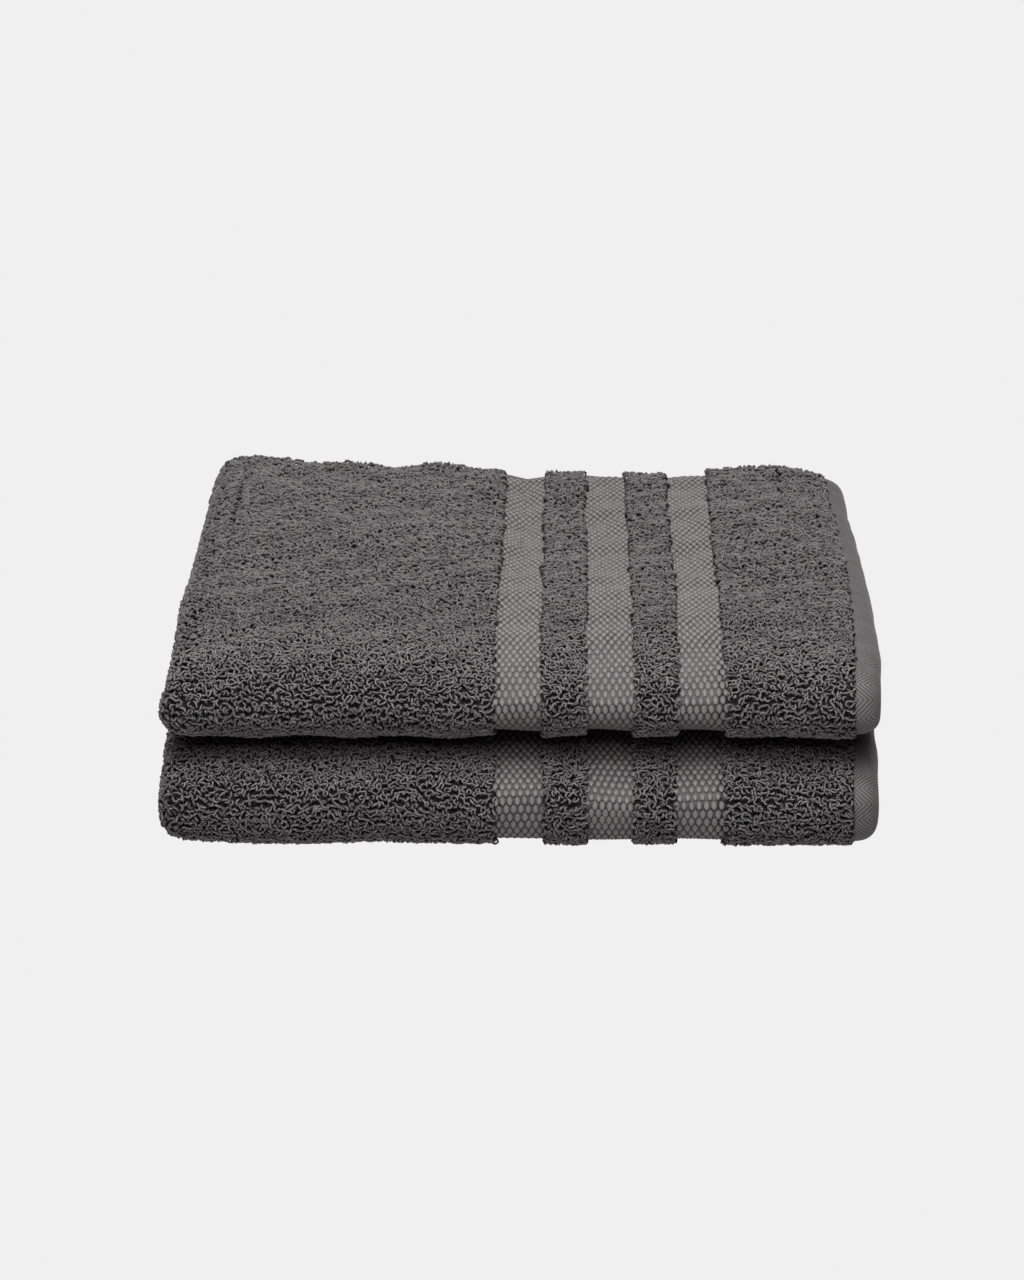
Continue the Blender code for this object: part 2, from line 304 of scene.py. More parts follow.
# Adds one node; settings are its own properties or the values of its inputs
def addNode(tree, kind, settings=None, links=None):
    node = tree.nodes.new(kind)
    for name, value in (settings or {}).items():
        if isinstance(name, str) and hasattr(node, name):
            setattr(node, name, value)
        else:
            node.inputs[name].default_value = value
    for name, source in (links or {}).items():
        tree.links.new(source, node.inputs[name])
    return node


def mixColours(tree, first, second, share):
    return addNode(tree, "ShaderNodeMix", {"data_type": "RGBA", 6: toLinear(yarnColours[first]),
                                           7: toLinear(yarnColours[second])}, {0: share})


def newMaterial(name, settings):
    material = bpy.data.materials.new(name)
    material.use_nodes = True
    shader = material.node_tree.nodes["Principled BSDF"]
    for socket, value in settings.items():
        shader.inputs[socket].default_value = value
    return material, material.node_tree, shader


# Some of these colours are painted shade: the dark of the loops' sides and feet, the dark of the gaps
# between the dobby's scales, and the dark ground weave under the pile
yarnColours = {
    "pileTip": "#a89fa1",
    "pileRootShade": "#272324",
    "ground": "#423d3f",
    "groundShade": "#2a2627",
    "dobby": "#958e8f",
    "dobbyGapShade": "#585254",
    "hem": "#8d8586",
    "hemShade": "#575153",
    "thread": "#8d8487",
    "threadShade": "#6f6669",
}


# Ring-spun cotton loops, uncut: matt yarn with a faint halo of fibre; painted shade darkens their sides
# and feet, dark between the loops
def cottonLoopMaterial():
    material, tree, shader = newMaterial("cottonLoopPile", {
        "Roughness": 0.88, "Sheen Weight": 0.22, "Sheen Roughness": 0.45, "IOR": 1.5,
        "Specular IOR Level": 0.28,
    })
    tone = addNode(tree, "ShaderNodeAttribute", {"attribute_name": "tone"})
    split = addNode(tree, "ShaderNodeSeparateColor", links={"Color": tone.outputs["Color"]})
    # painted shade: narrow bright crests over darker sides
    crest = addNode(tree, "ShaderNodeMath", {"operation": "POWER", 1: 1.7}, {0: split.outputs["Red"]})
    depth = mixColours(tree, "pileRootShade", "pileTip", crest.outputs[0])
    varied = addNode(tree, "ShaderNodeHueSaturation", {"Saturation": 1.0},
                     {"Color": depth.outputs[2], "Value": split.outputs["Green"]})
    tree.links.new(varied.outputs["Color"], shader.inputs["Base Color"])
    return material


# Ground weave under the pile: tight cotton threads, coloured dark as painted shade under the pile
def cottonGroundMaterial():
    material, tree, shader = newMaterial("cottonGroundWeave", {
        "Roughness": 0.95, "Specular IOR Level": 0.2, "Sheen Weight": 0.1,
    })
    uv = addNode(tree, "ShaderNodeUVMap", {"uv_map": "clothUV"})
    threads = addNode(tree, "ShaderNodeTexVoronoi", {"feature": "F1", "Scale": 900.0},
                      {"Vector": uv.outputs["UV"]})
    colour = mixColours(tree, "ground", "groundShade", threads.outputs["Distance"])
    bump = addNode(tree, "ShaderNodeBump", {"Strength": 0.6, "Distance": 0.0004},
                   {"Height": threads.outputs["Distance"]})
    tree.links.new(colour.outputs[2], shader.inputs["Base Color"])
    tree.links.new(bump.outputs["Normal"], shader.inputs["Normal"])
    return material


# Combed cotton floats: the weft lies flat over each scale and gives a soft satin light
def dobbyMaterial():
    material, tree, shader = newMaterial("combedCottonDobby", {
        "Roughness": 0.46, "Specular IOR Level": 0.55, "Sheen Weight": 0.10, "Sheen Roughness": 0.35,
    })
    tone = addNode(tree, "ShaderNodeAttribute", {"attribute_name": "tone"})
    split = addNode(tree, "ShaderNodeSeparateColor", links={"Color": tone.outputs["Color"]})
    uv = addNode(tree, "ShaderNodeUVMap", {"uv_map": "clothUV"})
    # weft threads, 0.45 mm apart, a little coarser than the real 0.3 mm so that they show
    threads = addNode(tree, "ShaderNodeTexWave", {"bands_direction": "Y", "Scale": 0.3142 / 0.00045 / 2,
                                                  "Distortion": 0.6, "Detail": 1.0},
                      {"Vector": uv.outputs["UV"]})
    # painted shade: the scales' low outlines and the bare cloth of the bands take the darker colour
    base = mixColours(tree, "dobbyGapShade", "dobby", split.outputs["Red"])
    varied = addNode(tree, "ShaderNodeHueSaturation", {"Saturation": 1.0},
                     {"Color": base.outputs[2], "Value": split.outputs["Green"]})
    bump = addNode(tree, "ShaderNodeBump", {"Strength": 0.25, "Distance": 0.0002},
                   {"Height": threads.outputs["Fac"]})
    tree.links.new(varied.outputs["Color"], shader.inputs["Base Color"])
    tree.links.new(bump.outputs["Normal"], shader.inputs["Normal"])
    return material


# Hem tape woven in herringbone: fine slanting ridges that turn every few millimetres
def hemMaterial():
    material, tree, shader = newMaterial("cottonHerringboneHem", {
        "Roughness": 0.78, "Specular IOR Level": 0.3, "Sheen Weight": 0.18, "Sheen Roughness": 0.4,
    })
    ridge = 0.0020      # ridge spacing in metres; the real 0.9 mm is too fine to show
    turn = 0.0150       # one zigzag
    uv = addNode(tree, "ShaderNodeUVMap", {"uv_map": "clothUV"})
    split = addNode(tree, "ShaderNodeSeparateXYZ", links={"Vector": uv.outputs["UV"]})
    zig = addNode(tree, "ShaderNodeMath", {"operation": "PINGPONG", 1: turn / 2}, {0: split.outputs["Y"]})
    slant = addNode(tree, "ShaderNodeMath", {"operation": "ADD"},
                    {0: split.outputs["X"], 1: zig.outputs[0]})
    phase = addNode(tree, "ShaderNodeMath", {"operation": "MULTIPLY", 1: 2 * math.pi / ridge},
                    {0: slant.outputs[0]})
    wave = addNode(tree, "ShaderNodeMath", {"operation": "SINE"}, {0: phase.outputs[0]})
    height = addNode(tree, "ShaderNodeMapRange", {"From Min": -1.0, "From Max": 1.0},
                     {"Value": wave.outputs[0]})
    patches = addNode(tree, "ShaderNodeTexNoise", {"Scale": 120.0, "Detail": 3.0},
                      {"Vector": uv.outputs["UV"]})
    colour = mixColours(tree, "hemShade", "hem", height.outputs["Result"])
    worn = addNode(tree, "ShaderNodeMix", {"data_type": "RGBA", "blend_type": "OVERLAY", 0: 0.35},
                   {6: colour.outputs[2], 7: patches.outputs["Fac"]})
    bump = addNode(tree, "ShaderNodeBump", {"Strength": 0.5, "Distance": 0.00028},
                   {"Height": height.outputs["Result"]})
    grey = addNode(tree, "ShaderNodeHueSaturation", {"Saturation": 0.8}, {"Color": worn.outputs[2]})
    tree.links.new(grey.outputs["Color"], shader.inputs["Base Color"])
    tree.links.new(bump.outputs["Normal"], shader.inputs["Normal"])
    return material


# Spun polyester sewing thread, two plies: slightly brighter than the cloth it sinks into
def threadMaterial():
    material, tree, shader = newMaterial("spunPolyesterThread", {
        "Roughness": 0.5, "Specular IOR Level": 0.5, "Sheen Weight": 0.1,
    })
    place = addNode(tree, "ShaderNodeTexCoord")
    plies = addNode(tree, "ShaderNodeTexNoise", {"Scale": 2500.0, "Detail": 1.0},
                    {"Vector": place.outputs["Object"]})
    colour = mixColours(tree, "threadShade", "thread", plies.outputs["Fac"])
    tree.links.new(colour.outputs[2], shader.inputs["Base Color"])
    return material


loopMaterial = cottonLoopMaterial()
groundMaterial = cottonGroundMaterial()
satinMaterial = dobbyMaterial()
herringboneMaterial = hemMaterial()
sewingMaterial = threadMaterial()
print("materials made")


# Makes an object from points and faces of one size, with its UV map and tone. A tone's red is the
# share of the material's lighter colour, and its green a factor on its brightness; in the pile and the
# dobby both carry painted shade, and the dobby's green painted highlights too.
def makePiece(name, points, faces, material, uv=None, cornerUV=None, tone=None):
    mesh = bpy.data.meshes.new(name)
    corners = faces.shape[1]
    mesh.vertices.add(len(points))
    mesh.vertices.foreach_set("co", np.ascontiguousarray(points, np.float32).ravel())
    mesh.loops.add(faces.size)
    mesh.loops.foreach_set("vertex_index", np.ascontiguousarray(faces, np.int32).ravel())
    mesh.polygons.add(len(faces))
    mesh.polygons.foreach_set("loop_start", np.arange(0, faces.size, corners, dtype=np.int32))
    mesh.update(calc_edges=True)
    if uv is not None:
        layerUV = mesh.uv_layers.new(name="clothUV")
        layerUV.data.foreach_set("uv", np.ascontiguousarray(uv[faces.ravel()], np.float32).ravel())
    if cornerUV is not None:
        mesh.uv_layers.new(name="OFBake").data.foreach_set(
            "uv", np.ascontiguousarray(cornerUV, np.float32).ravel())
    if tone is not None:
        colour = mesh.color_attributes.new("tone", "FLOAT_COLOR", "POINT")
        colour.data.foreach_set("color", np.ascontiguousarray(tone, np.float32).ravel())
    mesh.shade_smooth()
    mesh.materials.append(material)
    piece = bpy.data.objects.new(name, mesh)
    bpy.context.scene.collection.objects.link(piece)
    return piece


# The points and the faces of a finished bmesh, which is let go
def toArrays(shape):
    points = np.array([v.co for v in shape.verts])
    faces = np.array([[v.index for v in f.verts] for f in shape.faces])
    shape.free()
    return points, faces


def gridFaces(rows, columns):
    index = np.arange(rows * columns).reshape(rows, columns)
    quads = np.stack([index[:-1, :-1], index[1:, :-1], index[1:, 1:], index[:-1, 1:]], -1)
    return quads.reshape(-1, 4)


def addSolidify(piece, thickness):
    modifier = piece.modifiers.new("thickness", "SOLIDIFY")
    modifier.thickness = thickness
    modifier.offset = 0.0


# Lines across the cloth's width: close together round the nose
def widthLines(towel):
    nose = towel["noseAt"]
    flat = np.arange(0, nose - 0.075, cloth["flatStep"])
    curve = np.linspace(nose - 0.075, nose + 0.045, 34)
    rest = np.linspace(nose + 0.045, cloth["width"], 30)[1:]
    return np.concatenate([flat, curve, rest])


# The ground weave of one towel, in a single sheet; its bands are bare and carry the scales
def makeCloth(name, towel):
    run = alongLine(lengthRun(False))
    run = run * lengthTotal / run[-1]
    run[0] += cloth["endTrim"]
    run[-1] -= cloth["endTrim"]
    across = widthLines(towel)
    across[0] += cloth["sideTrim"]
    across[-1] -= cloth["sideTrim"]
    u, v = (a.ravel() for a in np.meshgrid(run, across, indexing="ij"))
    points = onTowel(towel, u, v, 0.0)
    faces = gridFaces(len(run), len(across))
    # a red of nought paints the bare cloth of the dobby bands with the dobby's painted shade colour
    tone = np.tile([0.0, 1.0, 1.0, 1.0], (len(points), 1))
    piece = makePiece(name + "_towel_cloth", points, faces, groundMaterial, uv=np.stack([u, v], 1),
                      tone=tone)
    piece.data.materials.append(satinMaterial)
    middle = u[faces].mean(1)
    isBand = np.zeros(len(faces), bool)
    for band in dobbyBands:
        start, end = (outerAt(x) for x in zoneX(band))
        isBand |= (middle > start) & (middle < end)
    piece.data.polygons.foreach_set("material_index", isBand.astype(np.int32))
    addSolidify(piece, cloth["thickness"])
    return piece


pile = {
    "yarnRadius": 0.00072,     # soft two-ply yarn
    "height": 0.0043,          # tips above the ground weave
    "fluff": 0.26,             # how much taller it stands on the upper towel, with nothing on it
    "length": (0.0026, 0.0042),    # how far a loop's head lies over its neighbours
    "curl": 215,               # degrees that a head may curl round
    "wave": 42,                # degrees that it may swing to and fro
    "sag": 0.80,               # height of its shoulders in parts of the whole
    "heights": (0.80, 1.0),    # of single loops, in parts of the whole
    "ripple": 0.00022,         # how far a head goes up and down along its way
    "foot": 0.62,              # how far apart its feet stand, in parts of its head's reach
    "sizes": (0.94, 1.06),
    "shapes": 96,
    "flank": 0.12,             # painted shade: tone of a loop's flanks, where its crest has 1
    "tones": 16,               # lots of slightly different brightness: dye, spread wider as painted shade of loops that sit in shadow
    "toneLow": 0.67,
    "toneSpread": 0.66,
    "topShade": 0.24,          # painted shade: how much darker the loops that stand on the open top are painted
    "jitter": (0.24, 0.38),    # how far a loop strays from its row, in rows, along and across
    # tube segments and spacing of the rows: in front, on top, at the left fold, where the other
    # towel covers it, and underneath
    "front": (6, 0.00212),
    "top": (6, 0.00252),
    "side": (6, 0.00235),
    "covered": (4, 0.0034),
    "under": (4, 0.0058),
    # how far the dense pile reaches up from the nose, and down under it
    "frontReach": {"upper": 0.105, "lower": 0.052},
    "underReach": 0.052,
    "edgeStrip": 0.006,        # pile that shows between the layers beside the side hems
    "edgeSize": 0.5,           # pressed flat there
    "mostFaces": 185000,       # in one piece
}


# A straight three-sided tube of yarn; every loop is this tube, bent. The numbers say which ring
# and which corner each of its points belongs to.
def yarnTube(steps):
    shape = bmesh.new()
    bmesh.ops.create_cone(shape, cap_ends=True, segments=3, radius1=1, radius2=1, depth=steps)
    bmesh.ops.translate(shape, verts=shape.verts, vec=(0, 0, steps / 2))
    for cut in range(1, steps):
        bmesh.ops.bisect_plane(shape, geom=shape.verts[:] + shape.edges[:] + shape.faces[:],
                               plane_co=(0, 0, cut), plane_no=(0, 0, 1))
    bmesh.ops.triangulate(shape, faces=shape.faces)
    bmesh.ops.recalc_face_normals(shape, faces=shape.faces)
    points, faces = toArrays(shape)
    ring = np.round(points[:, 2]).astype(int)
    angle = np.arctan2(points[:, 1], points[:, 0])
    corner = np.round((angle - angle.min()) / (2 * math.pi / 3)).astype(int) % 3
    return ring, corner, faces


# The middle line of the yarn in one loop: up from its foot, then lying curled over the pile
# beside it, and down again
def loopPath(rng, steps):
    along = np.linspace(0, 1, steps - 1)
    curl = math.radians(rng.uniform(-1, 1) * pile["curl"])
    wave = math.radians(rng.uniform(-1, 1) * pile["wave"])
    length = rng.uniform(*pile["length"])
    fineSteps = 60
    fine = np.linspace(0, 1, fineSteps)
    heading = curl * (fine - 0.5) + wave * np.sin(2 * math.pi * fine)
    x = np.concatenate([[0], np.cumsum(np.cos(heading))[:-1]]) * length / fineSteps
    y = np.concatenate([[0], np.cumsum(np.sin(heading))[:-1]]) * length / fineSteps
    x, y = (np.interp(along, fine, line) - line.mean() for line in (x, y))
    reach = pile["height"] * rng.uniform(*pile["heights"]) - pile["yarnRadius"]
    height = reach * (pile["sag"] + (1 - pile["sag"]) * (1 - np.abs(2 * along - 1) ** 3))
    height += rng.uniform(-pile["ripple"], pile["ripple"], len(height))
    foot = np.array([pile["foot"], pile["foot"], 0.0])
    path = np.stack([x, y, height], 1)
    path = np.concatenate([[path[0] * foot], path, [path[-1] * foot]])
    path[[0, -1], 2] = -0.0004      # both feet sink into the ground weave
    return path


def loopShapes(steps):
    rng = np.random.default_rng(5)
    ring, corner, faces = yarnTube(steps)
    shapes = []
    for _ in range(pile["shapes"]):
        path = loopPath(rng, steps)
        way = np.gradient(path, axis=0)
        way /= np.linalg.norm(way, axis=1)[:, None]
        middle = path[1:-1].mean(0)
        # the crest's side faces up, and leans out where the loop bends
        crest = 180.0 * (path - middle) * np.array([1, 1, 0]) + np.array([0, 0, 1.0])
        crest -= np.sum(crest * way, 1)[:, None] * way
        crest /= np.linalg.norm(crest, axis=1)[:, None]
        beside = np.cross(way, crest)
        angle = 2 * math.pi * corner / 3
        shapes.append(path[ring] + pile["yarnRadius"] * (np.cos(angle)[:, None] * crest[ring]
                                                         + np.sin(angle)[:, None] * beside[ring]))
    # painted shade: full colour on the crest of the head, little on its flanks, least at the foot
    height = np.interp(ring, [0, 1, 2, steps - 2, steps - 1, steps], [0.0, 0.6, 1.0, 1.0, 0.6, 0.0])
    shade = height * np.where(corner == 0, 1.0, pile["flank"])
    # the tube laid out flat, so that the map that a bake reads has no overlaps within one loop
    around = corner[faces].astype(float)
    wraps = (around.max(1) - around.min(1) == 2) & ((around == 1).sum(1) == 0)
    around[wraps[:, None] & (around == 0)] = 3
    flat = np.stack([0.05 + 0.9 * ring[faces] / steps, 0.05 + 0.9 * around / 3], -1)
    return {"points": np.array(shapes), "faces": faces, "shade": shade, "flat": flat}


# six segments for the pile that shows, four for the rest
loops = {steps: loopShapes(steps) for steps in (4, 6)}
print("loop shapes:", {steps: len(made["faces"]) for steps, made in loops.items()}, "faces each")


# Rows of loops over a stretch of cloth; side is 1 for its outer face and -1 for its inner one
def scatterLoops(name, towel, uSpan, vSpan, kind, size=1.0, side=1, seed=0):
    rng = np.random.default_rng(1000 + seed)
    made, spacing = loops[pile[kind][0]], pile[kind][1]
    rows = max(1, int(round((uSpan[1] - uSpan[0]) / spacing)))
    columns = max(1, int(round((vSpan[1] - vSpan[0]) / spacing)))
    u, v = np.meshgrid(np.arange(rows) + 0.5, np.arange(columns) + 0.5, indexing="ij")
    u = u + (np.arange(columns) % 2) * 0.5 - 0.25
    strayU, strayV = pile["jitter"]
    u = uSpan[0] + (u + rng.uniform(-strayU, strayU, u.shape)) * (uSpan[1] - uSpan[0]) / rows
    v = vSpan[0] + (v + rng.uniform(-strayV, strayV, v.shape)) * (vSpan[1] - vSpan[0]) / columns
    u, v = u.ravel(), v.ravel()
    count = len(u)
    root, along, across, out = frameOnTowel(towel, u, v, side * cloth["thickness"] / 2)
    out = out * side
    which = rng.integers(0, pile["shapes"], count)
    angle = rng.uniform(0, 2 * math.pi, count)
    scale = size * rng.uniform(*pile["sizes"], count)
    local = made["points"][which] * scale[:, None, None]
    cos, sin = np.cos(angle)[:, None], np.sin(angle)[:, None]
    spread = spacing / pile["front"][1]      # sparse loops lie wider, to cover the weave
    x = spread * (local[..., 0] * cos - local[..., 1] * sin)
    y = spread * (local[..., 0] * sin + local[..., 1] * cos)
    if side < 0:
        x = -x
    # free to stand tall on top, pressed down round the front and underneath
    isUpper = towel is towels["upper"]
    facesUp = ease((out[:, 2] - 0.5) / 0.4)
    behind = root[:, 1] - frontY
    tall = 1 + pile["fluff"] * ease((behind - 0.03) / 0.15) * facesUp * isUpper
    z = local[..., 2:3] * tall[:, None, None]
    points = (root[:, None, :] + x[..., None] * along[:, None, :]
              + y[..., None] * across[:, None, :] + z * out[:, None, :])
    corners = local.shape[1]
    faces = made["faces"][None] + (np.arange(count) * corners)[:, None, None]
    # a random lot of tone for each loop: dye, and painted shade of loops that sit in shadow
    lot = rng.integers(0, pile["tones"], count)
    tone = np.ones((count, corners, 4))
    # painted shade on the sides and feet of each loop, full colour on its crest
    tone[..., 0] = made["shade"]
    tone[..., 1] = (pile["toneLow"] + pile["toneSpread"] * lot / (pile["tones"] - 1))[:, None]
    # painted shade: loops that stand on the open top are painted darker, for the shaded sides that they
    # show
    onTop = ease((behind - 0.012) / 0.06) * facesUp
    tone[..., 1] *= (1 - pile["topShade"] * onTop * isUpper)[:, None]
    cell = np.stack([lot % 4, lot // 4], -1)[:, None, None, :]
    uv = (cell + made["flat"][None]) / 4
    points = points.reshape(-1, 3)
    points[:, 2] = np.maximum(points[:, 2], 0.0002)      # pressed flat where it meets the floor
    piece = makePiece(name, points, faces.reshape(-1, 3), loopMaterial, cornerUV=uv.reshape(-1, 2),
                      tone=tone.reshape(-1, 4))
    return piece


dobby = {
    "pitch": 0.0036,       # scales side by side
    "row": 0.00385,        # from one row to the next
    "width": 0.00362,
    "height": 0.0052,
    "crown": 0.00120,
    "shoulder": 0.66,      # height of the inset edge, in parts of the crown
    "inset": 0.14,         # of the width
    "corners": 10,
    "rim": 0.46,           # painted highlight on the upper end of each scale and painted shade on its lower end: how much lighter and darker
    "jitter": 0.04,        # in parts of the pitch and the row
}


# One scale of the dobby figure: pointed at the top, round below, crowned
def scaleShape():
    shape = bmesh.new()
    bmesh.ops.create_circle(shape, segments=dobby["corners"], radius=0.5, cap_ends=True)
    for vert in shape.verts:
        x, y = vert.co.x * 2, vert.co.y * 2
        full = math.copysign(abs(x) ** 0.8, x) * (1 - 0.30 * max(0.0, y) ** 1.5)
        vert.co = Vector((full * dobby["width"] / 2, y * dobby["height"] / 2, -0.0001))
    base = shape.verts[:]
    bmesh.ops.inset_region(shape, faces=shape.faces[:], thickness=dobby["width"] * dobby["inset"],
                           depth=0.0, use_boundary=True)
    inner = max(shape.faces, key=lambda f: len(f.verts))
    for vert in inner.verts:
        vert.co.z = dobby["crown"] * dobby["shoulder"]
    centre = bmesh.ops.poke(shape, faces=[inner])["verts"][0]
    centre.co = Vector((0, dobby["height"] * 0.08, dobby["crown"]))
    bmesh.ops.contextual_create(shape, geom=base)      # closes it underneath
    bmesh.ops.triangulate(shape, faces=shape.faces)
    bmesh.ops.recalc_face_normals(shape, faces=shape.faces)
    return toArrays(shape)


scalePoints, scaleFaces = scaleShape()
print("scale of the dobby figure:", len(scalePoints), "points,", len(scaleFaces), "faces")


def makeScales(name, towel, vSpan, seed):
    rng = np.random.default_rng(seed)
    us, vs = [], []
    for band in dobbyBands:
        start, end = (outerAt(x) for x in zoneX(band))
        across = int((end - start) / dobby["pitch"])
        rows = int((vSpan[1] - vSpan[0]) / dobby["row"])
        for row in range(rows):
            shift = 0.5 if row % 2 else 0.0
            for column in range(across + 1):
                u = (start + end) / 2 + (column - across / 2 + shift - 0.25) * dobby["pitch"]
                if start - 0.0008 < u < end + 0.0008:
                    us.append(u)
                    vs.append(vSpan[0] + (row + 0.5) * dobby["row"])
    u, v = np.array(us), np.array(vs)
    u += rng.uniform(-dobby["jitter"], dobby["jitter"], len(u)) * dobby["pitch"]
    v += rng.uniform(-dobby["jitter"], dobby["jitter"], len(v)) * dobby["row"]
    lift = cloth["thickness"] / 2 - 0.0001
    root, along, across, out = frameOnTowel(towel, u, v, lift)
    size = rng.uniform(0.95, 1.04, len(u))[:, None, None]
    local = scalePoints[None] * size
    points = (root[:, None, :] - local[..., 0:1] * along[:, None, :]
              - local[..., 1:2] * across[:, None, :] + local[..., 2:3] * out[:, None, :])
    corners = len(scalePoints)
    faces = scaleFaces[None] + (np.arange(len(u)) * corners)[:, None, None]
    tone = np.ones((len(u), corners, 4))
    # painted shade: each scale darkens to the gap colour towards its low outline
    tone[..., 0] = np.clip(scalePoints[None, :, 2] / dobby["crown"] * 1.3, 0, 1)
    # painted highlight on the upper end of each scale, painted shade on its lower end
    rim = 1 + dobby["rim"] * scalePoints[None, :, 1] / (dobby["height"] / 2)
    tone[..., 1] = rng.uniform(0.94, 1.06, len(u))[:, None] * rim
    uv = np.stack([u[:, None] - local[..., 0], v[:, None] - local[..., 1]], -1)
    piece = makePiece(name, points.reshape(-1, 3), faces.reshape(-1, 3), satinMaterial,
                      uv=uv.reshape(-1, 2), tone=tone.reshape(-1, 4))
    return piece


hem = {
    "thickness": 0.0029,
    "padding": 0.0014,       # the outer end's hem is folded double and stands proud by this
    "edge": 0.0009,          # rounding
    "sideWidth": 0.0120,
    "pileGap": 0.0005,       # bare cloth between a side hem and the pile
}


def stripOfCloth(name, towel, us, vs, lift=0.0):
    u, v = (a.ravel() for a in np.meshgrid(us, vs, indexing="ij"))
    points = onTowel(towel, u, v, lift)
    piece = makePiece(name, points, gridFaces(len(us), len(vs)), herringboneMaterial,
                      uv=np.stack([u, v], 1))
    addSolidify(piece, hem["thickness"])
    edge = piece.modifiers.new("soft edge", "BEVEL")
    edge.width = hem["edge"]
    edge.segments = 2
    edge.limit_method = "ANGLE"
    edge.angle_limit = math.radians(50)
    return piece


def makeHems(name, towel):
    across = widthLines(towel)
    ends = {
        "outer_end": np.linspace(outerHemAt - 0.0005, lengthTotal, 14),
        "inner_end": np.linspace(0.0, innerHemAt, 12),
    }
    made = {}
    for end, us in ends.items():
        lift = hem["padding"] if end == "outer_end" else 0.0
        made[f"{name}_{end}_hem"] = stripOfCloth(f"{name}_{end}_woven_hem", towel, us, across, lift)
    run = alongLine(lengthRun(False))
    run = run * lengthTotal / run[-1]
    run = run[(run > 0.020) & (run < lengthTotal - 0.022)]
    width = hem["sideWidth"]
    sides = {
        "top": np.linspace(0.0, width, 4),
        "bottom": np.linspace(cloth["width"] - width, cloth["width"], 4),
    }
    for side, vs in sides.items():
        made[f"{name}_{side}_side_hem"] = stripOfCloth(f"{name}_{side}_woven_side_hem", towel, run, vs)
    return made


stitches = {
    "length": 0.0030,
    "pitch": 0.0036,
    "width": 0.00062,
    "fromEdge": 0.0098,      # the side seam's distance from the cloth's edge
    "fromPile": 0.0012,      # the end seam's distance from where the pile stops
    "endGap": 0.004,         # bare cloth at both ends of an end seam
}


def stitchShape():
    shape = bmesh.new()
    bmesh.ops.create_uvsphere(shape, u_segments=4, v_segments=2, radius=0.5)
    bmesh.ops.triangulate(shape, faces=shape.faces)
    bmesh.ops.scale(shape, verts=shape.verts,
                    vec=(stitches["length"], stitches["width"], stitches["width"]))
    return toArrays(shape)


stitchPoints, stitchFaces = stitchShape()


# A seam shows a row of stitches on both faces of the hem
def sewAlong(name, towel, u, v, alongLength):
    allPoints, count = [], 0
    for side in (1, -1):
        root, along, across, out = frameOnTowel(towel, u, v, side * (hem["thickness"] / 2 + 0.00005))
        first, second = (along, across) if alongLength else (across, along)
        points = (root[:, None, :] + stitchPoints[None, :, 0:1] * first[:, None, :]
                  + stitchPoints[None, :, 1:2] * second[:, None, :]
                  + stitchPoints[None, :, 2:3] * out[:, None, :])
        allPoints.append(points.reshape(-1, 3))
        count += len(u)
    faces = stitchFaces[None] + (np.arange(count) * len(stitchPoints))[:, None, None]
    piece = makePiece(name, np.concatenate(allPoints), faces.reshape(-1, 3), sewingMaterial)
    shape = bmesh.new()
    shape.from_mesh(piece.data)
    bmesh.ops.recalc_face_normals(shape, faces=shape.faces)
    shape.to_mesh(piece.data)
    shape.free()
    return piece


def makeStitches(name, towel):
    made = {}
    v = np.arange(stitches["endGap"], cloth["width"] - stitches["endGap"], stitches["pitch"])
    ends = {
        "outer_end": outerHemAt + stitches["fromPile"],
        "inner_end": innerHemAt - stitches["fromPile"],
    }
    for end, at in ends.items():
        made[f"{name}_{end}_hem_stitching"] = sewAlong(
            f"{name}_{end}_hem_thread", towel, np.full(len(v), at), v, False)
    u = np.arange(0.024, lengthTotal - 0.026, stitches["pitch"])
    for side, at in {"top": stitches["fromEdge"], "bottom": cloth["width"] - stitches["fromEdge"]}.items():
        made[f"{name}_{side}_side_hem_stitching"] = sewAlong(
            f"{name}_{side}_side_hem_thread", towel, u, np.full(len(u), at), True)
    return made


